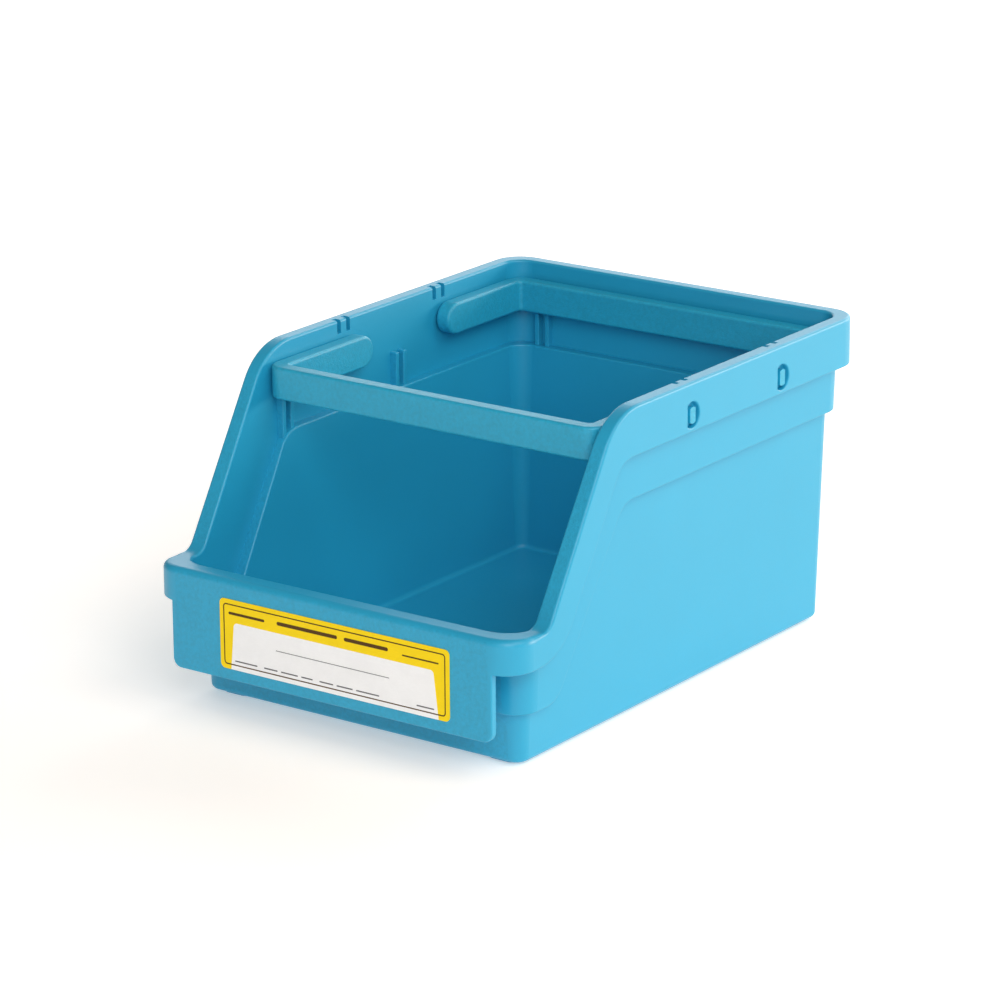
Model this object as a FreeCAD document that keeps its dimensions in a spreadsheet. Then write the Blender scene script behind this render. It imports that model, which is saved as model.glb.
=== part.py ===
import FreeCAD, Part
import math
import os

import Sketcher
from FreeCAD import Placement, Rotation, Vector

# Stackable storage bin with a scooped front and two U-shaped bars that swing on moulded pins.
# Millimetres. X runs across the bin, -Y is the open front, +Z is up and z = 0 is the table.

# Driving dimensions: alias, value, meaning.
DIMENSIONS = [
    ("bin_width", 130.0, "over the rim"),
    ("bin_length", 183.0, "over the rim, front to rear"),
    ("bin_height", 97.0, "table to rim top"),
    ("rim_thickness", 4.8, "rim wall, top view"),
    ("rim_corner", 9.5, "outer corner radius of the rim"),
    ("rim_inner_corner", 4.7, "inner corner radius of the rim at the rear"),
    ("rim_bottom", 82.0, "height of the rim band's lower edge"),
    ("lip_height", 42.6, "height of the front lip at its front face"),
    ("lip_tilt", 3.5, "fall of the lip top towards the inside, degrees"),
    ("lip_bottom", 32.0, "height of the lip band's lower edge"),
    ("lip_width", 7.3, "front face to inner edge of the lip"),
    ("lip_corner", 8.0, "plan radius where the lip meets the sides inside"),
    ("lip_ledge", 34.5, "height of the ledge behind the lip"),
    ("slope_angle", 59.0, "opening's slope above the horizontal, degrees"),
    ("slope_reach", 85.0, "slope plane's distance from the X axis"),
    ("crest_radius", 19.5, "side profile, rim top to slope"),
    ("foot_radius", 5.0, "side profile, slope to lip"),
    ("rim_slope_width", 10.2, "rim band's width along the slope"),
    ("band_slope_width", 22.5, "both bands' width along the slope"),
    ("band_bottom", 67.7, "height of the second band's lower edge"),
    ("band_front_bottom", 16.3, "the same, across the front"),
    ("band_step", 2.5, "how far the second band stands out from the body"),
    ("wall_draft", 1.8, "draft of the body walls, degrees"),
    ("rim_draft", 1.0, "draft of the walls inside the rim, degrees"),
    ("foot_height", 0.8, "rails that the bin stands on"),
    ("foot_inner", 43.6, "inner side of a rail"),
    ("foot_outer", 52.6, "outer side of a rail"),
    ("foot_front", 74.6, "front end of the rails"),
    ("foot_rear", 79.0, "rear end of the rails"),
    ("foot_corner", 2.0, "corner radius of a rail"),
    ("body_half_width", 56.9, "body, at its underside"),
    ("body_front", 77.2, "body's front face, at its underside"),
    ("body_rear", 83.3, "body's rear face, at its underside"),
    ("body_corner", 4.2, "body's corner radius, at its underside"),
    ("floor_thickness", 2.2, "bin floor"),
    ("wall", 2.2, "side and front wall"),
    ("rear_wall", 2.7, "rear wall"),
    ("inner_corner", 3.4, "inner corner radius of the body, at the floor"),
    ("shoulder_height", 70.5, "inside shoulder below the rim"),
    ("shoulder_slope_width", 17.8, "shoulder's distance from the slope"),
    ("shoulder_front_height", 18.8, "shoulder across the front"),
    ("shoulder_front", 78.3, "inner front face above the shoulder"),
    ("shoulder_radius", 9.0, "side profile of the shoulder's bends"),
    ("skirt_half_width", 57.3, "label panel that hangs from the lip"),
    ("skirt_bottom", 11.8, "lower edge of the label panel"),
    ("skirt_thickness", 2.4, "label panel"),
    ("skirt_corner", 3.0, "label panel's lower corners"),
    ("pivot_height", 86.8, "axis of both bars"),
    ("front_pivot", -1.5, "front bar's axis, along Y"),
    ("rear_pivot", 47.0, "rear bar's axis, along Y"),
    ("bore_radius", 2.58, "pin hole in the rim"),
    ("pocket_radius", 3.9, "D-shaped pocket round the pin's end"),
    ("pocket_flat", 2.3, "flat of the pocket, from the axis"),
    ("pocket_lead", 0.85, "pocket's centre ahead of the pivot"),
    ("pocket_rise", 0.35, "pocket's centre above the pivot"),
    ("pocket_edge", 0.4, "rounding of a pocket's mouth"),
    ("pocket_depth", 1.8, "D-shaped pocket"),
    ("groove_spacing", 4.5, "pair of relief grooves above each pin"),
    ("groove_lead", 2.3, "middle of a groove pair ahead of the pivot"),
    ("groove_width", 1.8, "relief groove"),
    ("groove_depth", 2.2, "relief groove"),
    ("groove_bottom", 92.9, "lower end of the relief grooves"),
    ("rib_top", 81.5, "stop ribs that carry the bars"),
    ("rib_width", 1.6, "stop rib"),
    ("rib_spacing", 3.8, "between the two ribs of a pair"),
    ("rib_root", 1.0, "how far a rib runs down into the shoulder"),
    ("rib_embed", 0.5, "how far a rib runs back into the wall"),
    ("front_rib_root", 3.1, "the same where the shoulder bends down"),
    ("rib_half_width", 57.5, "face of the side ribs"),
    ("rib_rear_face", 84.1, "face of the rear ribs"),
    ("front_rib", -34.6, "front pair of side ribs, along Y"),
    ("middle_rib", 21.7, "middle pair of side ribs, along Y"),
    ("rear_rib", 48.7, "rear ribs, along X"),
    ("rib_edge", 0.3, "rounding of the ribs"),
    ("bar_half_width", 59.3, "bars, over the arms"),
    ("bar_thickness", 5.0, "arms and crossbar, top view"),
    ("bar_depth", 10.0, "arms and crossbar, side view"),
    ("front_reach", 42.0, "front bar, axis to outer face"),
    ("rear_reach", 38.4, "rear bar, axis to outer face"),
    ("bar_corner", 5.5, "outer corners of a bar"),
    ("bar_inner_corner", 1.2, "inner corners of a bar"),
    ("bar_edge", 0.9, "rounding of a bar's edges"),
    ("pin_radius", 2.5, "pin moulded on each arm"),
    ("pin_end", 64.6, "outer end of the pins"),
    ("pin_shoulder", 63.1, "where a pin's round part ends"),
    ("pin_tip_width", 2.7, "flattened tip of a pin"),
    ("rim_edge", 1.0, "rounding of the rim's outer edge"),
    ("lip_edge", 1.9, "rounding of the lip's front edge"),
    ("rim_inner_edge", 0.8, "rounding of the rim's inner edge"),
    ("step_edge", 0.5, "rounding of the bands' lower edges"),
    ("shoulder_edge", 0.6, "rounding of the inside shoulder"),
    ("body_edge", 1.8, "rounding of the body's underside"),
    ("floor_edge", 1.5, "rounding round the inside of the floor"),
    ("label_left", -39.0, "sticker's left edge"),
    ("label_right", 43.1, "sticker's right edge"),
    ("label_bottom", 15.4, "sticker's lower edge"),
    ("label_top", 36.7, "sticker's upper edge"),
    ("label_corner", 1.6, "sticker's corner radius"),
    ("label_thickness", 0.2, "sticker"),
    ("clear_of", 12.0, "how far a cutting solid runs past what it cuts"),
]

# Sketch planes: the rotation that lays a sketch on the plane, and the axis it is offset along.
PLANES = {
    "plan": (Rotation(), "z"),
    "side": (Rotation(Vector(1, 1, 1), 120), "x"),
    "front": (Rotation(Vector(1, 0, 0), 90), "y"),
}

doc = FreeCAD.newDocument("storage_bin")


def make_sheet():
    """Spreadsheet with one aliased cell for each driving dimension."""
    table = doc.addObject("Spreadsheet::Sheet", "Dims")
    for row, (alias, value, meaning) in enumerate(DIMENSIONS, start=1):
        table.set(f"A{row}", meaning)
        table.set(f"B{row}", str(value))
        table.setAlias(f"B{row}", alias)
    doc.recompute()
    return table


sheet = make_sheet()


def value(expression):
    """Number that an expression gives with the sheet's present values."""
    result = sheet.evalExpression(expression)
    return float(getattr(result, "Value", result))


def new_sketch(name, plane, offset):
    rotation, axis = PLANES[plane]
    sketch = doc.addObject("Sketcher::SketchObject", name)
    sketch.Placement = Placement(Vector(), rotation)
    sketch.setExpression(f"Placement.Base.{axis}", offset)
    return sketch


def add_line(sketch, start, end):
    return sketch.addGeometry(Part.LineSegment(Vector(*start, 0), Vector(*end, 0)))


def add_arc(sketch, centre, radius, from_degrees, to_degrees):
    circle = Part.Circle(Vector(*centre, 0), Vector(0, 0, 1), radius)
    arc = Part.ArcOfCircle(circle, math.radians(from_degrees), math.radians(to_degrees))
    return sketch.addGeometry(arc)


def drive(sketch, name, expression, kind, *where):
    """Adds a named constraint whose size follows an expression."""
    size = value(expression)
    if kind == "Angle":
        size = math.radians(size)
    index = sketch.addConstraint(Sketcher.Constraint(kind, *where, size))
    sketch.renameConstraint(index, name)
    sketch.setExpression(f"Constraints.{name}", expression)


def rounded_rectangle(name, plane, offset, left, right, low, high, low_radius, high_radius):
    """Sketch of a rectangle whose two low corners and two high corners have their own radii."""
    sketch = new_sketch(name, plane, offset)
    x0, x1, y0, y1 = (value(side) for side in (left, right, low, high))
    r0, r1 = value(low_radius), value(high_radius)
    add_line(sketch, (x0 + r0, y0), (x1 - r0, y0))
    add_arc(sketch, (x1 - r0, y0 + r0), r0, -90, 0)
    add_line(sketch, (x1, y0 + r0), (x1, y1 - r1))
    add_arc(sketch, (x1 - r1, y1 - r1), r1, 0, 90)
    add_line(sketch, (x1 - r1, y1), (x0 + r1, y1))
    add_arc(sketch, (x0 + r1, y1 - r1), r1, 90, 180)
    add_line(sketch, (x0, y1 - r1), (x0, y0 + r0))
    add_arc(sketch, (x0 + r0, y0 + r0), r0, 180, 270)
    for index in range(8):
        sketch.addConstraint(Sketcher.Constraint("Tangent", index, 2, (index + 1) % 8, 1))
    for kind, line in (("Horizontal", 0), ("Vertical", 2), ("Horizontal", 4), ("Vertical", 6)):
        sketch.addConstraint(Sketcher.Constraint(kind, line))
    sketch.addConstraint(Sketcher.Constraint("Equal", 1, 7))
    sketch.addConstraint(Sketcher.Constraint("Equal", 3, 5))
    drive(sketch, "left", left, "DistanceX", -1, 1, 6, 1)
    drive(sketch, "right", right, "DistanceX", -1, 1, 2, 1)
    drive(sketch, "low", low, "DistanceY", -1, 1, 0, 1)
    drive(sketch, "high", high, "DistanceY", -1, 1, 4, 1)
    drive(sketch, "low_radius", low_radius, "Radius", 1)
    drive(sketch, "high_radius", high_radius, "Radius", 3)
    return sketch


def side_profile(name, top, reach, front, tilt, crest, foot):
    """Sketch of the side view below one line: rim top, crest, slope, foot bend and front.

    reach is the slope's distance from the X axis, and front is the height of the front stretch
    where it ends, clear of the bin.
    """
    sketch = new_sketch(name, "side", "0")
    angle = math.radians(value("Dims.slope_angle"))
    lean = math.radians(value(tilt))
    front_end = -value("Dims.bin_length / 2 + Dims.clear_of")
    rear_end = -front_end
    z_top, z_front, distance = value(top), value(front), value(reach)
    r_crest, r_foot = value(crest), value(foot)
    out = Vector(-math.sin(angle), math.cos(angle), 0)

    # Centres of the two bends: the crest lies below the top and inside the slope, the foot bend
    # lies above the front stretch and outside the slope.
    crest_z = z_top - r_crest
    crest_y = (distance - r_crest - out.y * crest_z) / out.x
    rise = math.tan(lean)
    level = z_front + rise * front_end + r_foot / math.cos(lean)
    foot_y = (distance + r_foot - out.y * level) / (out.x - out.y * rise)
    foot_z = level - rise * foot_y
    crest_end = Vector(crest_y, crest_z, 0) + out * r_crest
    foot_start = Vector(foot_y, foot_z, 0) - out * r_foot
    foot_end = Vector(foot_y - r_foot * math.sin(lean), foot_z - r_foot * math.cos(lean), 0)
    low = -value("Dims.clear_of")

    bottom = add_line(sketch, (front_end, low), (rear_end, low))
    rear = add_line(sketch, (rear_end, low), (rear_end, z_top))
    roof = add_line(sketch, (rear_end, z_top), (crest_y, z_top))
    turn = value("Dims.slope_angle")
    bend_top = add_arc(sketch, (crest_y, crest_z), r_crest, 90, 90 + turn)
    slope = add_line(sketch, (foot_start.x, foot_start.y), (crest_end.x, crest_end.y))
    bend_foot = add_arc(sketch, (foot_y, foot_z), r_foot, 270 - value(tilt), 270 + turn)
    sill = add_line(sketch, (front_end, z_front), (foot_end.x, foot_end.y))
    face = add_line(sketch, (front_end, z_front), (front_end, low))

    for first, first_end, second, second_end in (
        (bottom, 2, rear, 1),
        (rear, 2, roof, 1),
        (sill, 1, face, 1),
        (face, 2, bottom, 1),
    ):
        sketch.addConstraint(Sketcher.Constraint("Coincident", first, first_end, second, second_end))
    for first, first_end, second, second_end in (
        (roof, 2, bend_top, 1),
        (bend_top, 2, slope, 2),
        (slope, 1, bend_foot, 2),
        (bend_foot, 1, sill, 2),
    ):
        sketch.addConstraint(Sketcher.Constraint("Tangent", first, first_end, second, second_end))
    for kind, line in (
        ("Horizontal", bottom),
        ("Vertical", rear),
        ("Horizontal", roof),
        ("Vertical", face),
    ):
        sketch.addConstraint(Sketcher.Constraint(kind, line))
    drive(sketch, "top", top, "DistanceY", -1, 1, roof, 1)
    drive(sketch, "reach", reach, "Distance", -1, 1, slope)
    drive(sketch, "slope", "Dims.slope_angle", "Angle", slope)
    drive(sketch, "tilt", f"-({tilt})", "Angle", sill)
    drive(sketch, "front", front, "DistanceY", -1, 1, sill, 1)
    drive(sketch, "crest", crest, "Radius", bend_top)
    drive(sketch, "foot", foot, "Radius", bend_foot)
    drive(sketch, "front_end", "-(Dims.bin_length / 2 + Dims.clear_of)", "DistanceX", -1, 1, face, 1)
    drive(sketch, "rear_end", "Dims.bin_length / 2 + Dims.clear_of", "DistanceX", -1, 1, rear, 1)
    drive(sketch, "low", "-Dims.clear_of", "DistanceY", -1, 1, bottom, 1)
    return sketch


def extrude(name, sketch, length, draft="0", symmetric=False):
    """Prism along the sketch's normal; draft widens it as it goes."""
    prism = doc.addObject("Part::Extrusion", name)
    prism.Base = sketch
    prism.DirMode = "Normal"
    prism.Solid = True
    prism.Symmetric = symmetric
    prism.setExpression("LengthFwd", length)
    prism.setExpression("TaperAngle", draft)
    return prism


def join(name, *shapes):
    result = doc.addObject("Part::MultiFuse", name)
    result.Shapes = list(shapes)
    result.Refine = True
    return result


def overlap(name, *shapes):
    result = doc.addObject("Part::MultiCommon", name)
    result.Shapes = list(shapes)
    result.Refine = True
    return result


def cut(name, base, tool):
    result = doc.addObject("Part::Cut", name)
    result.Base = base
    result.Tool = tool
    result.Refine = True
    return result


def mirror_across(name, source):
    """Copy on the other side of the bin's middle plane."""
    result = doc.addObject("Part::Mirroring", name)
    result.Source = source
    result.Normal = Vector(1, 0, 0)
    return result


def box(name, x0, x1, y0, y1, z0, z1):
    """Box between limits that are expressions."""
    block = doc.addObject("Part::Box", name)
    for size, low, high in (("Length", x0, x1), ("Width", y0, y1), ("Height", z0, z1)):
        block.setExpression(size, f"({high}) - ({low})")
    for axis, low in (("x", x0), ("y", y0), ("z", z0)):
        block.setExpression(f"Placement.Base.{axis}", low)
    return block


def cross_cylinder(name, radius, x0, x1, y, z):
    """Cylinder whose axis runs along X between two limits."""
    rod = doc.addObject("Part::Cylinder", name)
    rod.Placement = Placement(Vector(), Rotation(Vector(0, 1, 0), 90))
    rod.setExpression("Radius", radius)
    rod.setExpression("Height", f"({x1}) - ({x0})")
    for axis, place in (("x", x0), ("y", y), ("z", z)):
        rod.setExpression(f"Placement.Base.{axis}", place)
    return rod


def is_sharp_ridge(shape, edge):
    """True where two faces meet at an outward corner of more than about 10 degrees."""
    faces = shape.ancestorsOfType(edge, Part.Face)
    if len(faces) != 2:
        return False
    point = middle(edge)
    normals = [face.normalAt(*face.Surface.parameter(point)) for face in faces]
    agreement = normals[0].dot(normals[1])
    if agreement > math.cos(math.radians(10)):
        return False
    step = 0.02
    into_first = normals[1] - normals[0] * agreement
    probe = Part.Vertex(point - into_first * (step / into_first.Length))
    return probe.distToShape(faces[0])[0] < step / 10


def round_ridges(name, base, pick):
    """Fillets the sharp ridges of base. pick gives an edge's radii at its two ends, or None."""
    doc.recompute()
    rounded = doc.addObject("Part::Fillet", name)
    rounded.Base = base
    chosen = []
    for index, edge in enumerate(base.Shape.Edges, start=1):
        radii = pick(edge) if is_sharp_ridge(base.Shape, edge) else None
        if radii:
            chosen.append((index, *radii))
    rounded.Edges = chosen
    doc.recompute()
    return rounded


def middle(edge):
    return edge.valueAt((edge.FirstParameter + edge.LastParameter) / 2)


HALF_LENGTH = "Dims.bin_length / 2"
HALF_WIDTH = "Dims.bin_width / 2"
ABOVE = "Dims.bin_height + Dims.clear_of"


def plan_block(name, base, top, half_width, front, rear, front_radius, rear_radius, draft="0"):
    """Upright block with a rounded rectangular plan; front is its distance ahead of the X axis."""
    plan = rounded_rectangle(
        f"{name}_plan", "plan", base, f"-({half_width})", half_width, f"-({front})", rear,
        front_radius, rear_radius,
    )
    return extrude(name, plan, f"({top}) - ({base})", draft)


def silhouette(name, top, reach, front, crest, foot, tilt="0"):
    """Everything below one side profile, right across the bin."""
    outline = side_profile(f"{name}_outline", top, reach, front, tilt, crest, foot)
    return extrude(name, outline, "Dims.bin_width + 2 * Dims.clear_of", symmetric=True)


def make_outside():
    """Outer form: tapered body, two stepped bands that follow the opening, and the label panel."""
    body = plan_block(
        "body_block", "Dims.foot_height", ABOVE, "Dims.body_half_width",
        "Dims.body_front", "Dims.body_rear", "Dims.body_corner", "Dims.body_corner", "Dims.wall_draft",
    )
    band_corner = "Dims.body_corner + Dims.band_step"
    band = plan_block(
        "band_block", "Dims.foot_height", ABOVE, "Dims.body_half_width + Dims.band_step",
        "Dims.body_front + Dims.band_step", "Dims.body_rear + Dims.band_step", band_corner, band_corner,
        "Dims.wall_draft",
    )
    below_band = silhouette(
        "below_band", "Dims.band_bottom", "Dims.slope_reach - Dims.band_slope_width",
        "Dims.band_front_bottom", "Dims.shoulder_radius", "Dims.shoulder_radius",
    )
    rim = plan_block(
        "rim_block", "Dims.foot_height", ABOVE, HALF_WIDTH, HALF_LENGTH, HALF_LENGTH, "Dims.rim_corner",
        "Dims.rim_corner",
    )
    below_rim = silhouette(
        "below_rim", "Dims.rim_bottom", "Dims.slope_reach - Dims.rim_slope_width", "Dims.lip_bottom",
        "Dims.shoulder_radius", "Dims.crest_radius",
    )
    bands = (cut("band", band, below_band), cut("rim", rim, below_rim))
    solid = join("outer_solid", body, *bands, make_skirt(rim))
    lip_end = "Dims.lip_height + Dims.clear_of * tan(Dims.lip_tilt)"
    below_opening = silhouette(
        "below_opening", "Dims.bin_height", "Dims.slope_reach", lip_end, "Dims.crest_radius",
        "Dims.foot_radius", "Dims.lip_tilt",
    )
    return overlap("outer_form", solid, below_opening)


def make_skirt(rim):
    """Label panel that hangs from the lip: the part of a thin rim-shaped ring behind its outline."""
    inset = "Dims.skirt_thickness"
    depth, corner = f"{HALF_LENGTH} - {inset}", f"Dims.rim_corner - {inset}"
    core = plan_block("skirt_core", "0", ABOVE, f"{HALF_WIDTH} - {inset}", depth, depth, corner, corner)
    outline = rounded_rectangle(
        "skirt_outline", "front", f"-({HALF_LENGTH}) + Dims.clear_of", "-Dims.skirt_half_width",
        "Dims.skirt_half_width", "Dims.skirt_bottom", "Dims.lip_bottom + 2 * Dims.skirt_corner",
        "Dims.skirt_corner", "Dims.skirt_corner",
    )
    panel = extrude("skirt_panel", outline, "2 * Dims.clear_of")
    return overlap("skirt", cut("skirt_ring", rim, core), panel)


def borders_opening(edge):
    """True on the rim top, the slope and the lip top, and false on the bands' lower edges."""
    spot = middle(edge)
    near = value("Dims.rim_slope_width") / 2
    angle = math.radians(value("Dims.slope_angle"))
    beyond_slope = spot.z * math.cos(angle) - spot.y * math.sin(angle) - value("Dims.slope_reach")
    on_rim = spot.z > value("Dims.rim_bottom") + near
    return on_rim or (beyond_slope > -near and spot.z > value("Dims.lip_bottom") + near)


def round_outside(form):
    """Rounds the rim, the lip, the bands' lower edges and the underside."""
    front = -value(HALF_LENGTH)
    rim_edge, lip_edge = value("Dims.rim_edge"), value("Dims.lip_edge")
    step_edge, body_edge = value("Dims.step_edge"), value("Dims.body_edge")

    def pick(edge):
        ends = [edge.valueAt(edge.FirstParameter), edge.valueAt(edge.LastParameter)]
        if borders_opening(edge):
            return tuple(lip_edge if end.y < front + 0.1 else rim_edge for end in ends)
        if max(end.z for end in ends) < value("Dims.foot_height") + 0.1:
            return body_edge, body_edge
        return step_edge, step_edge

    return round_ridges("outer_rounded", form, pick)


def inner_plan(name, base, front, rear, front_radius, rear_radius):
    """Core inside the rim. Its walls lean out to the rim's inner edge at the rim top."""
    lean = f"(Dims.bin_height - ({base})) * tan(Dims.rim_draft)"
    half_width = f"{HALF_WIDTH} - Dims.rim_thickness - {lean}"
    radii = (front_radius, rear_radius)
    return plan_block(name, base, ABOVE, half_width, front, rear, *radii, "Dims.rim_draft")


def make_cavity():
    """Inside of the bin: lower core, wider core above the shoulder, and the space behind the lip."""
    floor_top = "Dims.foot_height + Dims.floor_thickness"
    lower = plan_block(
        "lower_core", floor_top, ABOVE, "Dims.body_half_width - Dims.wall",
        "Dims.body_front - Dims.wall", "Dims.body_rear - Dims.rear_wall",
        "Dims.inner_corner", "Dims.inner_corner", "Dims.wall_draft",
    )
    rear_lean = f"(Dims.bin_height - ({floor_top})) * tan(Dims.rim_draft)"
    upper = inner_plan(
        "upper_core", floor_top, "Dims.shoulder_front",
        f"{HALF_LENGTH} - Dims.rim_thickness - {rear_lean}",
        "Dims.rim_inner_corner", "Dims.rim_inner_corner",
    )
    below_shoulder = silhouette(
        "below_shoulder", "Dims.shoulder_height", "Dims.slope_reach - Dims.shoulder_slope_width",
        "Dims.shoulder_front_height", "Dims.shoulder_radius", "Dims.shoulder_radius",
    )
    behind_lip = inner_plan(
        "lip_core", "Dims.lip_ledge", f"{HALF_LENGTH} - Dims.lip_width",
        "2 * Dims.lip_corner - Dims.shoulder_front", "Dims.lip_corner", "Dims.lip_corner",
    )
    floor_z, floor_edge = value(floor_top), value("Dims.floor_edge")

    def pick_floor(edge):
        return (floor_edge, floor_edge) if edge.BoundBox.ZMax < floor_z + 0.1 else None

    lower_rounded = round_ridges("lower_core_rounded", lower, pick_floor)
    return join("cavity", lower_rounded, cut("upper_core_cut", upper, below_shoulder), behind_lip)


def round_inside(shell):
    """Rounds the rim's inner edge, and the shoulder and the ledge below it."""
    rim_edge, shoulder_edge = value("Dims.rim_inner_edge"), value("Dims.shoulder_edge")

    ledge = value("Dims.lip_ledge")

    def pick(edge):
        if edge.BoundBox.ZLength < 0.1 and abs(middle(edge).z - ledge) < 0.1:
            return None
        radius = rim_edge if borders_opening(edge) else shoulder_edge
        return radius, radius

    return round_ridges("shell_rounded", shell, pick)


PIVOTS = {"front": "Dims.front_pivot", "rear": "Dims.rear_pivot"}
RIB_BACK = "(Dims.rim_thickness - Dims.rib_embed)"


def both_sides(source):
    return source, mirror_across(f"{source.Name}_mirror", source)


def round_all(name, base, radius):
    size = value(radius)
    return round_ridges(name, base, lambda edge: (size, size))


def make_rails():
    """Two low rails under the floor."""
    rail = plan_block(
        "rail", "0", "Dims.foot_height + Dims.floor_thickness / 2",
        "(Dims.foot_outer - Dims.foot_inner) / 2", "Dims.foot_front", "Dims.foot_rear",
        "Dims.foot_corner", "Dims.foot_corner",
    )
    rail.setExpression("Placement.Base.x", "(Dims.foot_outer + Dims.foot_inner) / 2")
    return both_sides(rail)


def make_side_ribs():
    """Pairs of stop ribs on the side walls, from inside the shoulder up to the bars."""
    ribs = []
    for place, root in (("front_rib", "Dims.front_rib_root"), ("middle_rib", "Dims.rib_root")):
        for number, side in enumerate(("-", "+"), start=1):
            centre = f"Dims.{place} {side} Dims.rib_spacing / 2"
            rib = box(
                f"{place}_{number}", "Dims.rib_half_width", f"{HALF_WIDTH} - {RIB_BACK}",
                f"{centre} - Dims.rib_width / 2", f"{centre} + Dims.rib_width / 2",
                f"Dims.shoulder_height - {root}", "Dims.rib_top")
            ribs.extend(both_sides(round_all(f"{rib.Name}_rounded", rib, "Dims.rib_edge")))
    return ribs


def make_rear_ribs():
    """Pairs of stop ribs on the rear wall."""
    ribs = []
    for number, side in enumerate(("-", "+"), start=1):
        centre = f"Dims.rear_rib {side} Dims.rib_spacing / 2"
        rib = box(
            f"rear_rib_{number}", f"{centre} - Dims.rib_width / 2", f"{centre} + Dims.rib_width / 2",
            "Dims.rib_rear_face", f"{HALF_LENGTH} - {RIB_BACK}",
            "Dims.shoulder_height - Dims.rib_root", "Dims.rib_top")
        ribs.extend(both_sides(round_all(f"{rib.Name}_rounded", rib, "Dims.rib_edge")))
    return ribs


def make_pockets(name, pivot):
    """D-shaped pockets round the outer ends of one bore, flat to the front."""
    floor, beyond = f"{HALF_WIDTH} - Dims.pocket_depth", f"{HALF_WIDTH} + Dims.clear_of"
    along = f"{pivot} - Dims.pocket_lead"
    height = "Dims.pivot_height + Dims.pocket_rise"
    disc = cross_cylinder(f"{name}_pocket_disc", "Dims.pocket_radius", floor, beyond, along, height)
    behind_flat = box(
        f"{name}_pocket_flat", floor, beyond, f"{along} - Dims.pocket_flat", f"{along} + Dims.clear_of",
        f"{height} - Dims.clear_of", f"{height} + Dims.clear_of")
    return both_sides(overlap(f"{name}_pocket", disc, behind_flat))


def make_grooves(name, pivot):
    """Pair of relief grooves above one pivot, down from the rim top on both inner faces."""
    inner_face = f"{HALF_WIDTH} - Dims.rim_thickness"
    grooves = []
    for number, side in enumerate(("-", "+"), start=1):
        centre = f"{pivot} - Dims.groove_lead {side} Dims.groove_spacing / 2"
        groove = box(
            f"{name}_groove_{number}",
            f"{inner_face} - Dims.clear_of / 2", f"{inner_face} + Dims.groove_depth",
            f"{centre} - Dims.groove_width / 2", f"{centre} + Dims.groove_width / 2",
            "Dims.groove_bottom", ABOVE)
        grooves.extend(both_sides(groove))
    return grooves


def make_pivot_cuts():
    """Pin bores right through the rim, with their pockets and grooves."""
    reach = f"{HALF_WIDTH} - Dims.pocket_depth / 2"
    tools = []
    for name, pivot in PIVOTS.items():
        tools.append(cross_cylinder(
            f"{name}_bore", "Dims.bore_radius", f"-({reach})", reach, pivot, "Dims.pivot_height"))
        tools.extend(make_pockets(name, pivot))
        tools.extend(make_grooves(name, pivot))
    return tools


def round_pockets(shell):
    """Rounds the mouths of the four D-shaped pockets."""
    face = value(HALF_WIDTH)
    size = value("Dims.pocket_edge")
    height, reach = value("Dims.pivot_height"), value("2 * Dims.pocket_radius")
    places = [value(pivot) for pivot in PIVOTS.values()]

    def pick(edge):
        spot = middle(edge)
        on_face = abs(abs(spot.x) - face) < 0.01 and edge.BoundBox.XLength < 0.01
        near = any(abs(spot.y - place) < reach for place in places) and abs(spot.z - height) < reach
        return (size, size) if on_face and near else None

    return round_ridges("bin_shell", shell, pick)


def make_shell():
    """The moulded bin: one solid."""
    blank = cut("shell_blank", round_outside(make_outside()), make_cavity())
    doc.recompute()
    added = (*make_rails(), *make_side_ribs(), *make_rear_ribs())
    ribbed = join("shell_ribbed", round_inside(blank), *added)
    bored = cut("shell_bored", ribbed, join("pivot_cuts", *make_pivot_cuts()))
    shell = round_pockets(bored)
    shell.Label = "bin_shell"
    return shell


def make_pin(name):
    """Round pin on an arm's outer face, with a flattened tip."""
    root = "Dims.bar_half_width - Dims.bar_thickness / 2"
    journal = cross_cylinder(f"{name}_journal", "Dims.pin_radius", root, "Dims.pin_shoulder", "0", "0")
    tip = cross_cylinder(f"{name}_tip_round", "Dims.pin_radius", root, "Dims.pin_end", "0", "0")
    slab = box(
        f"{name}_tip_slab", root, "Dims.pin_end", "-Dims.pin_tip_width / 2", "Dims.pin_tip_width / 2",
        "-Dims.bar_depth", "Dims.bar_depth")
    return join(f"{name}_pin", journal, overlap(f"{name}_tip", tip, slab))


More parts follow.
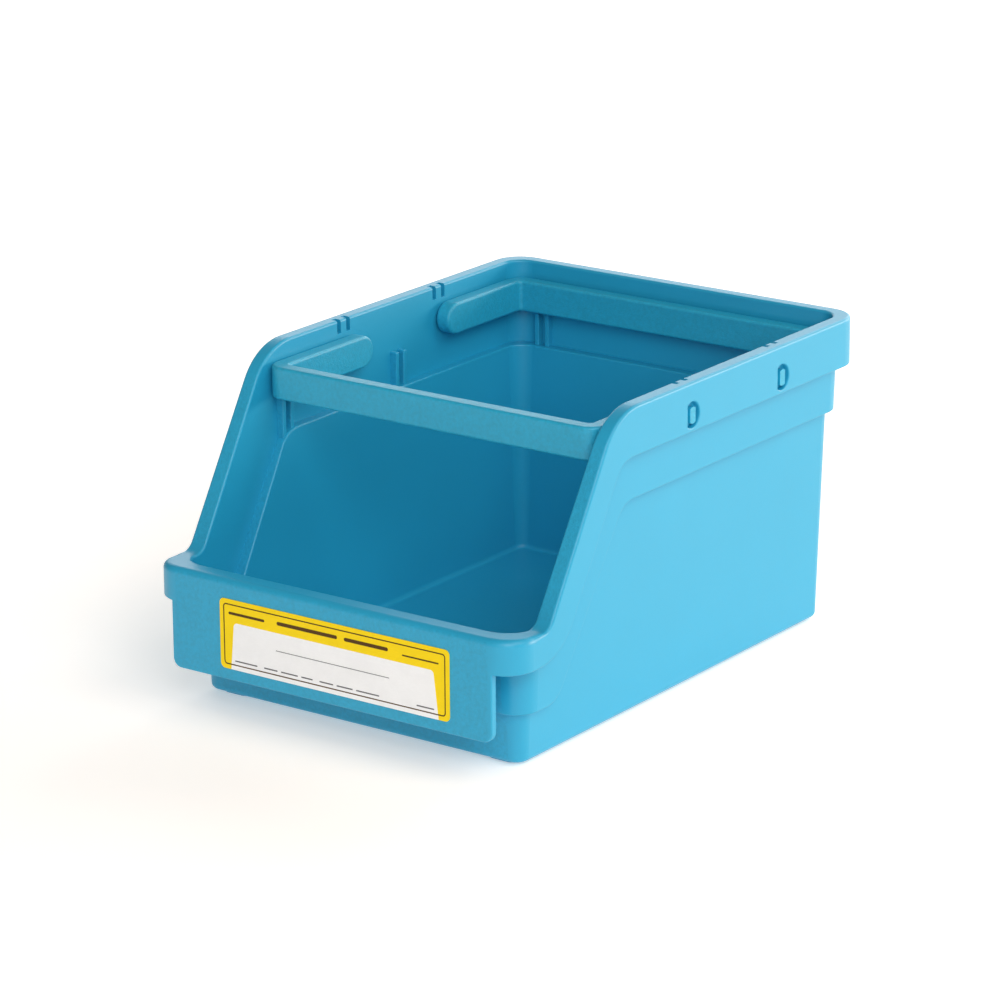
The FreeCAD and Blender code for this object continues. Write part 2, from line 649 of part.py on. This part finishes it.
def make_bar(name, reach, pivot, turn):
    """U-shaped bar: arms round-ended on the pivot axis, a crossbar and two pins.

    It is drawn with the axis along X through the origin and the crossbar towards +Y, then placed.
    """
    half_depth = "Dims.bar_depth / 2"
    inside = "Dims.bar_half_width - Dims.bar_thickness"
    solid = plan_block(
        f"{name}_block", f"-{half_depth}", half_depth, "Dims.bar_half_width", "2 * Dims.clear_of", reach,
        "Dims.bar_corner", "Dims.bar_corner")
    hollow = plan_block(
        f"{name}_hollow", "-Dims.bar_depth", "Dims.bar_depth", inside, "3 * Dims.clear_of",
        f"{reach} - Dims.bar_thickness", "Dims.bar_inner_corner", "Dims.bar_inner_corner")
    end_round = cross_cylinder(f"{name}_end_round", half_depth, f"-{HALF_WIDTH}", HALF_WIDTH, "0", "0")
    beyond_axis = box(
        f"{name}_beyond_axis", f"-{HALF_WIDTH}", HALF_WIDTH, "0", f"{reach} + Dims.clear_of",
        f"-{half_depth}", half_depth)
    side_view = join(f"{name}_side_view", end_round, beyond_axis)
    arms = overlap(f"{name}_arms", cut(f"{name}_frame", solid, hollow), side_view)
    bar = join(name, round_all(f"{name}_rounded", arms, "Dims.bar_edge"), *both_sides(make_pin(name)))
    bar.Placement = Placement(Vector(), Rotation(Vector(0, 0, 1), turn))
    bar.setExpression("Placement.Base.y", pivot)
    bar.setExpression("Placement.Base.z", "Dims.pivot_height")
    bar.Label = name
    return bar


def make_label():
    """Paper sticker on the front face of the lip and the skirt."""
    outline = rounded_rectangle(
        "label_outline", "front", f"-({HALF_LENGTH})", "Dims.label_left", "Dims.label_right",
        "Dims.label_bottom", "Dims.label_top", "Dims.label_corner", "Dims.label_corner")
    sticker = extrude("label_sticker", outline, "Dims.label_thickness")
    sticker.Label = "label_sticker"
    return sticker


def check_and_export(subparts):
    """Stops if anything failed, then writes one STEP file for each sub-part."""
    failed = [obj.Name for obj in doc.Objects if "Invalid" in obj.State or "Error" in obj.State]
    if failed:
        raise RuntimeError(f"failed objects: {failed}")
    os.makedirs("parts", exist_ok=True)
    for part in subparts:
        shape = part.Shape
        if shape.isNull() or not shape.isValid() or len(shape.Solids) != 1:
            raise RuntimeError(f"{part.Label} is not one valid solid")
        shape.exportStep(os.path.join("parts", f"{part.Label}.step"))
        size = shape.BoundBox
        print(f"{part.Label}: {shape.Volume / 1000:.2f} cm3, "
              f"X {size.XMin:.2f} to {size.XMax:.2f}, Y {size.YMin:.2f} to {size.YMax:.2f}, "
              f"Z {size.ZMin:.2f} to {size.ZMax:.2f}")


subparts = [
    make_shell(),
    make_bar("front_bar", "Dims.front_reach", "Dims.front_pivot", 180),
    make_bar("rear_bar", "Dims.rear_reach", "Dims.rear_pivot", 0),
    make_label(),
]
doc.recompute()
check_and_export(subparts)
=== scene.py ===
import math

import bmesh
import bpy
from mathutils import Matrix, Vector


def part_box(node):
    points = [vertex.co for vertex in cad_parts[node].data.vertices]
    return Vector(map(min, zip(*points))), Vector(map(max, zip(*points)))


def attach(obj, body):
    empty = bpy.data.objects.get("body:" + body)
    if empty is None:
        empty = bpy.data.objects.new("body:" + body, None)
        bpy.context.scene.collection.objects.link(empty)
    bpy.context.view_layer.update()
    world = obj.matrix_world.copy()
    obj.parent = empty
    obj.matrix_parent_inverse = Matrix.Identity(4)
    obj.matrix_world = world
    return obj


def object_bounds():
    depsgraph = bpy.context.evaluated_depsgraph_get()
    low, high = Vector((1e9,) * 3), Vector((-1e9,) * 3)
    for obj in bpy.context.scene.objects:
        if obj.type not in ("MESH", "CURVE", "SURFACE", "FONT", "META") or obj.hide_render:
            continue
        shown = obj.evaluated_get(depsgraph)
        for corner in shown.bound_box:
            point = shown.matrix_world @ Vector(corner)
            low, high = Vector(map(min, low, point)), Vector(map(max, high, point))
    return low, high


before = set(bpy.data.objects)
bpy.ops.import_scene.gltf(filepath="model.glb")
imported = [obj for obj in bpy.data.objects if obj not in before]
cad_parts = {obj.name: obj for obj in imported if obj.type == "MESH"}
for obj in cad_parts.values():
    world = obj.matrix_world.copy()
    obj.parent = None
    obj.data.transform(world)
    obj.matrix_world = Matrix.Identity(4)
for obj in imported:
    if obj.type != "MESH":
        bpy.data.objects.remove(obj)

CAD_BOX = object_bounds()
MM = 0.001

# Camera: it looks down on the bin from its front right. Angles in degrees, lengths in metres.
CAMERA_AZIMUTH = 35.638
CAMERA_ELEVATION = 17.403
CAMERA_ROLL = -0.286
CAMERA_DISTANCE = 1.3171
CAMERA_LENS = 158.62
SENSOR_WIDTH = 36
CLIP_END = 50
AIM_OFFSET = Vector((-3.59, -1.83, 0.68)) * MM

# Softboxes round the bin: azimuth from +X towards +Y and elevation in degrees, width and height in
# metres, power in watts, warmth from 0 to 1.
SOFTBOXES = {
    "softbox_rear": (90, 25, 1.1, 1.1, 15.0, 0),
    "strip_rear_left": (126, 20, 1.5, 0.9, 9.0, 0),
    "strip_rear_right": (54, 10, 1.6, 0.5, 28.0, 1),
    "softbox_right": (0, 50, 1.1, 1.1, 11.0, 0.4),
    "softbox_front_right": (315, 30, 1.1, 1.1, 17.5, 0),
    "softbox_front": (270, 25, 1.1, 1.1, 1.5, 0),
}
SOFTBOX_DISTANCE = 2.0
SOFTBOX_TARGET = Vector((0, 0, 0.05))
SURROUNDINGS = 0.20
WARM_TINT = (1.0, 0.80, 0.66)
FLOOR_GLOW = 0.34
FLOOR_GLOW_TINT = (1.0, 0.93, 0.86)

# Floor: a disc, its radius in metres, with faint clouds of the size given between two pale tones.
FLOOR_RADIUS = 6.0
FLOOR_CORNERS = 96
FLOOR_CLOUDS = 0.4
FLOOR_TONES = ((0.94, 0.93, 0.915), (0.96, 0.95, 0.935))
FLOOR_ROUGHNESS = 0.8
FLOOR_SPECULAR = 0.1

# Linear colours.
SHELL_BLUE = (0.018, 0.364, 0.585)
BAR_BLUE = (0.018, 0.385, 0.585)
LABEL_YELLOW = (0.980, 0.700, 0.002)
LABEL_WHITE = (0.950, 0.950, 0.950)
PRINT_BROWN = (0.095, 0.045, 0.006)
PRINT_GREY = (0.140, 0.140, 0.150)

# Plastic: sizes of its noises in metres, and the tones that each one shades the colour with.
MOTTLING_SIZE = 0.022
SPECKLE_SIZE = 0.0010
GRAIN_SIZE = 0.0005
WAVE_SIZE = 0.045
MOTTLING_TONES = (0.97, 1.03)
SMOOTH_TONES = (0.985, 1.015)
COARSE_TONES = (0.82, 1.12)
GRAIN_OVER_MOTTLING = 0.6
SHELL_ROUGHNESS = 0.38
BAR_ROUGHNESS = 0.36
GLOSS_SPREAD = (-0.03, 0.04)
PLASTIC_IOR = 1.5

# Plastic relief: depths in metres, the share of the grain on smooth faces, and the roughness that
# coarse grain adds.
WAVE_DEPTH = 0.00025
GRAIN_DEPTH = 0.00010
SMOOTH_GRAIN = 0.22
ROUGHER_GRAIN = 0.08

# Forward faces, each as (full, none): the normal's Y, the size of its X, and the place along Y.
FORWARD_NORMAL = (-0.84, -0.80)
STRAIGHT_NORMAL = (0.04, 0.08)
AHEAD_OF = (60 * MM, 65 * MM)

# Paper: sizes of its noises in metres, their tones, and its faint relief.
FIBRE_SIZE = 0.0004
FIBRE_STRETCH = (0.35, 1, 1)
INK_SIZE = 0.006
INK_TONES = (0.97, 1.02)
FIBRE_TONE = 0.93
FIBRE_REACH = 0.35
FIBRE_DEPTH = 0.000008
PAPER_SPREAD = (-0.05, 0.06)
PAPER_SPECULAR = 0.2
STICKER_ROUGHNESS = 0.42
PRINT_ROUGHNESS = 0.5

# Label layout: lengths in millimetres, places as shares of the label's width and height from its
# top left corner.
PRINT_THICKNESS = 0.02
BORDER_INSET = 1.35
BORDER_WIDTH = 0.36
BORDER_RADIUS = 1.1
FIELD_RADIUS = 1.3
FIELD_FOOT_RADIUS = 0.02
FIELD_TOP = 0.325
FIELD_TOP_SIDES = (0.063, 0.932)
FIELD_BOTTOM_SIDES = (0.047, 0.953)
BAR_ROUNDING = 0.49

# Blank bars: (left, right) of each one, their middle, their thickness in millimetres and their ink.
NOTE_BARS = [
    (0.065, 0.165), (0.195, 0.255), (0.270, 0.345), (0.360, 0.410),
    (0.440, 0.500), (0.515, 0.585), (0.600, 0.700),
]
LABEL_BARS = {
    "label_writing_line": ([(0.249, 0.744)], 0.58, 0.22, "grey"),
    "label_mark_bar": ([(0.040, 0.200)], 0.195, 0.8, "brown"),
    "label_title_bars": ([(0.255, 0.520), (0.550, 0.740)], 0.185, 1.1, "brown"),
    "label_code_bar": ([(0.80, 0.955)], 0.215, 0.45, "brown"),
    "label_note_bars": (NOTE_BARS, 0.868, 0.4, "grey"),
    "label_end_bar": ([(0.860, 0.935)], 0.868, 0.4, "grey"),
}


def shade(colour, factor):
    """colour made darker or lighter, no channel above 1."""
    return tuple(min(1.0, channel * factor) for channel in colour)


class Nodes:
    """Short ways to add and link shader nodes in one material."""

    def __init__(self, name):
        self.material = bpy.data.materials.new(name)
        self.material.use_nodes = True
        self.tree = self.material.node_tree
        self.shader = self.tree.nodes["Principled BSDF"]
        self.place = self.add("ShaderNodeTexCoord").outputs["Object"]

    def add(self, kind, **settings):
        """New node of that kind with its settings."""
        node = self.tree.nodes.new(kind)
        for key, setting in settings.items():
            setattr(node, key, setting)
        return node

    def link(self, output, target):
        self.tree.links.new(output, target)

    def noise(self, size, detail=2.0, roughness=0.5, stretch=(1, 1, 1)):
        """Noise between 0 and 1 whose features are about size metres across."""
        mapping = self.add("ShaderNodeMapping")
        mapping.inputs["Scale"].default_value = stretch
        self.link(self.place, mapping.inputs["Vector"])
        noise = self.add("ShaderNodeTexNoise")
        noise.inputs["Scale"].default_value = 1 / size
        noise.inputs["Detail"].default_value = detail
        noise.inputs["Roughness"].default_value = roughness
        self.link(mapping.outputs["Vector"], noise.inputs["Vector"])
        return noise.outputs["Fac"]

    def spread(self, source, low, high, source_low=0.3, source_high=0.7):
        """source mapped from its usual range to low to high."""
        spread = self.add("ShaderNodeMapRange")
        spread.inputs["From Min"].default_value = source_low
        spread.inputs["From Max"].default_value = source_high
        spread.inputs["To Min"].default_value = low
        spread.inputs["To Max"].default_value = high
        self.link(source, spread.inputs["Value"])
        return spread.outputs["Result"]

    def blend(self, factor, first, second):
        """Colour between first and second, which are colours or colour outputs."""
        mix = self.add("ShaderNodeMix", data_type="RGBA")
        self.link(factor, mix.inputs["Factor"])
        for socket, colour in ((mix.inputs["A"], first), (mix.inputs["B"], second)):
            if isinstance(colour, tuple):
                socket.default_value = (*colour, 1)
            else:
                self.link(colour, socket)
        return mix.outputs["Result"]

    def constant(self, number):
        """Output that is the same number everywhere."""
        node = self.add("ShaderNodeValue")
        node.outputs["Value"].default_value = number
        return node.outputs["Value"]

    def math(self, operation, first, second):
        """Result of a math node on two numbers or outputs."""
        node = self.add("ShaderNodeMath", operation=operation)
        for socket, operand in zip(node.inputs, (first, second)):
            if isinstance(operand, (int, float)):
                socket.default_value = operand
            else:
                self.link(operand, socket)
        return node.outputs["Value"]

    def times(self, first, second):
        return self.math("MULTIPLY", first, second)

    def plus(self, first, second):
        return self.math("ADD", first, second)

    def bump(self, height, distance, strength=1.0, under=None):
        """Bump of that height in metres, on top of another bump's normal where one is given."""
        bump = self.add("ShaderNodeBump")
        bump.inputs["Distance"].default_value = distance
        if isinstance(strength, float):
            bump.inputs["Strength"].default_value = strength
        else:
            self.link(strength, bump.inputs["Strength"])
        self.link(height, bump.inputs["Height"])
        if under is not None:
            self.link(under, bump.inputs["Normal"])
        return bump.outputs["Normal"]


def forward_faces(nodes):
    """1 on the flat faces that look forward: the label panel, the lip and the slope of the rim.

    It is 0 on rounded corners and edges, on the sides and on the rear wall.
    """
    normal = nodes.add("ShaderNodeSeparateXYZ")
    nodes.link(nodes.add("ShaderNodeTexCoord").outputs["Normal"], normal.inputs["Vector"])
    axes = nodes.add("ShaderNodeSeparateXYZ")
    nodes.link(nodes.place, axes.inputs["Vector"])
    forward = nodes.spread(normal.outputs["Y"], 1, 0, *FORWARD_NORMAL)
    sideways = nodes.math("ABSOLUTE", normal.outputs["X"], 0)
    straight = nodes.spread(sideways, 1, 0, *STRAIGHT_NORMAL)
    ahead = nodes.spread(axes.outputs["Y"], 1, 0, *AHEAD_OF)
    return nodes.times(nodes.times(forward, straight), ahead)


def toned(nodes, noise, colour, tones):
    """colour shaded between two tones by a noise."""
    return nodes.blend(nodes.spread(noise, 0, 1), shade(colour, tones[0]), shade(colour, tones[1]))


def moulded_plastic(name, colour, roughness, zone=None):
    """Injection-moulded polypropylene: spark-eroded grain, faint flow mottling, satin gloss.

    zone is 1 where the mould's face was coarsely grained and 0 where it was smoother. With no zone,
    the whole piece is coarse.
    """
    nodes = Nodes(name)
    shader = nodes.shader
    mottling = nodes.noise(MOTTLING_SIZE, detail=3.0)
    speckle = nodes.noise(SPECKLE_SIZE, detail=3.0, roughness=0.65)
    grain = nodes.noise(GRAIN_SIZE, detail=2.5, roughness=0.6)
    wave = nodes.noise(WAVE_SIZE, detail=1.0)
    tone = toned(nodes, mottling, colour, MOTTLING_TONES)
    smooth = toned(nodes, speckle, colour, SMOOTH_TONES)
    coarse = toned(nodes, speckle, colour, COARSE_TONES)
    if zone is None:
        weight = nodes.constant(1.0)
    else:
        weight = zone(nodes)
    grained = nodes.blend(weight, smooth, coarse)
    share = nodes.constant(GRAIN_OVER_MOTTLING)
    nodes.link(nodes.blend(share, tone, grained), shader.inputs["Base Color"])
    gloss = nodes.spread(speckle, *(roughness + change for change in GLOSS_SPREAD))
    nodes.link(nodes.plus(gloss, nodes.times(weight, ROUGHER_GRAIN)), shader.inputs["Roughness"])
    waviness = nodes.bump(wave, WAVE_DEPTH)
    depth = nodes.spread(weight, SMOOTH_GRAIN, 1.0, 0, 1)
    nodes.link(nodes.bump(grain, GRAIN_DEPTH, depth, under=waviness), shader.inputs["Normal"])
    shader.inputs["IOR"].default_value = PLASTIC_IOR
    return nodes.material


def printed_paper(name, colour, roughness):
    """Coated label stock: faint paper fibre and uneven ink."""
    nodes = Nodes(name)
    shader = nodes.shader
    fibre = nodes.noise(FIBRE_SIZE, detail=3.0, stretch=FIBRE_STRETCH)
    ink = nodes.noise(INK_SIZE, detail=2.0)
    tone = toned(nodes, ink, colour, INK_TONES)
    tone = nodes.blend(nodes.spread(fibre, 0, FIBRE_REACH), tone, shade(colour, FIBRE_TONE))
    nodes.link(tone, shader.inputs["Base Color"])
    gloss = nodes.spread(fibre, *(roughness + change for change in PAPER_SPREAD))
    nodes.link(gloss, shader.inputs["Roughness"])
    nodes.link(nodes.bump(fibre, FIBRE_DEPTH), shader.inputs["Normal"])
    shader.inputs["Specular IOR Level"].default_value = PAPER_SPECULAR
    return nodes.material


def dress(node, material):
    """Gives a CAD node its material."""
    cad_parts[node].data.materials[0] = material


def arc(centre, radius, start, turn, steps=8):
    """Points along an arc, both ends included."""
    for step in range(steps + 1):
        angle = start + turn * step / steps
        yield centre + Vector((math.cos(angle), math.sin(angle))) * radius


def rounded_outline(corners, radii):
    """Closed 2-D outline through counter-clockwise corners, each rounded by its own radius."""
    points = []
    count = len(corners)
    for index, radius in enumerate(radii):
        corner = Vector(corners[index])
        before = (corner - Vector(corners[index - 1])).normalized()
        after = (Vector(corners[(index + 1) % count]) - corner).normalized()
        turn = before.angle_signed(after) * -1
        reach = radius * math.tan(turn / 2)
        side = Vector((-before.y, before.x))
        centre = corner - before * reach + side * radius
        start = math.atan2(-side.y, -side.x)
        points.extend(arc(centre, radius, start, turn))
    return points


def label_piece(name, build, material):
    """Printed piece made by build(bm), riding on the bin."""
    bm = bmesh.new()
    build(bm)
    bmesh.ops.recalc_face_normals(bm, faces=bm.faces)
    mesh = bpy.data.meshes.new(name)
    bm.to_mesh(mesh)
    bm.free()
    mesh.materials.append(material)
    piece = bpy.data.objects.new(name, mesh)
    bpy.context.scene.collection.objects.link(piece)
    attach(piece, "bin")


class Label:
    """The sticker's front face, on which print is laid out in shares of its width and height."""

    def __init__(self):
        low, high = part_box("label_sticker")
        self.left, self.top, self.front = low.x, high.z, low.y
        self.width, self.height = high.x - low.x, high.z - low.z

    def at(self, across, down):
        """Point at those shares of the width and height."""
        return Vector((self.left + self.width * across, self.top - self.height * down))

    def corners(self, left, right, top, bottom):
        """Counter-clockwise corners of a rectangle given in shares."""
        places = ((left, bottom), (right, bottom), (right, top), (left, top))
        return [self.at(across, down) for across, down in places]

    def inset_corners(self, inset):
        """Counter-clockwise corners at one distance inside the label's edge."""
        across, down = inset / self.width, inset / self.height
        return self.corners(across, 1 - across, down, 1 - down)

    @staticmethod
    def strip(bm, first, second, count):
        """Closed strip of faces between two rings of vertices."""
        for index in range(count):
            after = (index + 1) % count
            bm.faces.new((first[index], first[after], second[after], second[index]))

    def slab(self, bm, loops, layer=1):
        """Thin printed solid: one outline, or the band between an outer and an inner one."""
        back = self.front + PRINT_THICKNESS * MM
        front = self.front - PRINT_THICKNESS * MM * layer
        rings = [
            [[bm.verts.new((p.x, y, p.y)) for p in loop] for y in (back, front)]
            for loop in loops
        ]
        count = len(loops[0])
        for ring in rings:
            self.strip(bm, *ring, count)
        for side in (0, 1):
            if len(rings) == 1:
                bm.faces.new(rings[0][side])
                continue
            self.strip(bm, rings[0][side], rings[1][side], count)


def make_writing_field(label, material):
    """Pale field, wider at the foot, that runs down to the label's lower edge."""
    corners = [label.at(side, 1) for side in FIELD_BOTTOM_SIDES]
    corners += [label.at(side, FIELD_TOP) for side in reversed(FIELD_TOP_SIDES)]
    radii = [FIELD_FOOT_RADIUS * MM] * 2 + [FIELD_RADIUS * MM] * 2
    outline = rounded_outline(corners, radii)
    label_piece("label_writing_field", lambda bm: label.slab(bm, [outline]), material)


def make_border(label, material):
    """Thin printed frame line."""
    radius = BORDER_RADIUS * MM
    width = BORDER_WIDTH * MM
    loops = [
        rounded_outline(label.inset_corners(BORDER_INSET * MM), [radius] * 4),
        rounded_outline(label.inset_corners(BORDER_INSET * MM + width), [radius - width] * 4),
    ]
    label_piece("label_border_line", lambda bm: label.slab(bm, loops, layer=2), material)


def make_bars(label, name, bars, middle, thickness, material):
    """Row of blank round-ended bars. bars holds (left, right) in shares of the width."""
    half = thickness / label.height / 2 * MM

    def build(bm):
        for left, right in bars:
            corners = label.corners(left, right, middle - half, middle + half)
            outline = rounded_outline(corners, [thickness * MM * BAR_ROUNDING] * 4)
            label.slab(bm, [outline], layer=2)

    label_piece(name, build, material)


def make_label():
    """Yellow sticker with a border, a writing field, a writing line and blank bars."""
    label = Label()
    inks = {
        "brown": printed_paper("ink_brown", PRINT_BROWN, PRINT_ROUGHNESS),
        "grey": printed_paper("ink_grey", PRINT_GREY, PRINT_ROUGHNESS),
    }
    dress("label_sticker", printed_paper("label_yellow", LABEL_YELLOW, STICKER_ROUGHNESS))
    make_writing_field(label, printed_paper("label_white", LABEL_WHITE, PRINT_ROUGHNESS))
    make_border(label, inks["brown"])
    for name, (bars, middle, thickness, ink) in LABEL_BARS.items():
        make_bars(label, name, bars, middle, thickness, inks[ink])


def make_floor():
    """Pale plain floor."""
    nodes = Nodes("floor_paper")
    shader = nodes.shader
    clouds = nodes.noise(FLOOR_CLOUDS, detail=2.0)
    nodes.link(nodes.blend(clouds, *FLOOR_TONES), shader.inputs["Base Color"])
    shader.inputs["Roughness"].default_value = FLOOR_ROUGHNESS
    shader.inputs["Specular IOR Level"].default_value = FLOOR_SPECULAR
    shader.inputs["Emission Color"].default_value = (*FLOOR_GLOW_TINT, 1)
    shader.inputs["Emission Strength"].default_value = FLOOR_GLOW
    bm = bmesh.new()
    bmesh.ops.create_circle(bm, cap_ends=True, segments=FLOOR_CORNERS, radius=FLOOR_RADIUS)
    mesh = bpy.data.meshes.new("floor")
    bm.to_mesh(mesh)
    bm.free()
    mesh.materials.append(nodes.material)
    floor = bpy.data.objects.new("floor", mesh)
    bpy.context.scene.collection.objects.link(floor)


def aim(obj, place, target, roll=0.0):
    """Puts obj at place, with its -Z axis towards target."""
    turn = (target - place).to_track_quat("-Z", "Y").to_matrix().to_4x4()
    obj.matrix_world = Matrix.Translation(place) @ turn @ Matrix.Rotation(roll, 4, "Z")


def make_softbox(name, azimuth, elevation, width, height, power, warmth):
    """Softbox that faces the bin."""
    light = bpy.data.lights.new(name, "AREA")
    light.shape = "RECTANGLE"
    light.size, light.size_y = width, height
    light.energy = power
    light.color = [1 + (tint - 1) * warmth for tint in WARM_TINT]
    lamp = bpy.data.objects.new(name, light)
    lamp.visible_camera = False
    bpy.context.scene.collection.objects.link(lamp)
    turn, rise = math.radians(azimuth), math.radians(elevation)
    direction = Vector((
        math.cos(turn) * math.cos(rise),
        math.sin(turn) * math.cos(rise),
        math.sin(rise),
    ))
    aim(lamp, direction * SOFTBOX_DISTANCE, SOFTBOX_TARGET)


def make_lights():
    """Soft studio light: pale surroundings and softboxes, the strongest low behind the bin."""
    world = bpy.data.worlds.new("studio")
    world.use_nodes = True
    backdrop = world.node_tree.nodes["Background"]
    backdrop.inputs["Color"].default_value = (1, 1, 1, 1)
    backdrop.inputs["Strength"].default_value = SURROUNDINGS
    bpy.context.scene.world = world
    for name, settings in SOFTBOXES.items():
        make_softbox(name, *settings)


def make_camera():
    """Camera at the front right, aimed near the middle of the CAD box."""
    low, high = (Vector(corner) for corner in CAD_BOX)
    target = (low + high) / 2 + AIM_OFFSET
    azimuth, elevation = math.radians(CAMERA_AZIMUTH), math.radians(CAMERA_ELEVATION)
    back = Vector((
        math.sin(azimuth) * math.cos(elevation),
        -math.cos(azimuth) * math.cos(elevation),
        math.sin(elevation),
    ))
    data = bpy.data.cameras.new("camera")
    data.lens = CAMERA_LENS
    data.sensor_width = SENSOR_WIDTH
    data.clip_end = CLIP_END
    camera = bpy.data.objects.new("camera", data)
    bpy.context.scene.collection.objects.link(camera)
    aim(camera, target + back * CAMERA_DISTANCE, target, math.radians(CAMERA_ROLL))
    bpy.context.scene.camera = camera


bpy.context.scene.view_settings.view_transform = "Standard"
make_camera()
dress("bin_shell", moulded_plastic("shell_plastic", SHELL_BLUE, SHELL_ROUGHNESS, forward_faces))
bar_plastic = moulded_plastic("bar_plastic_grained", BAR_BLUE, BAR_ROUGHNESS)
for bar in ("front_bar", "rear_bar"):
    dress(bar, bar_plastic)
make_label()
make_floor()
make_lights()
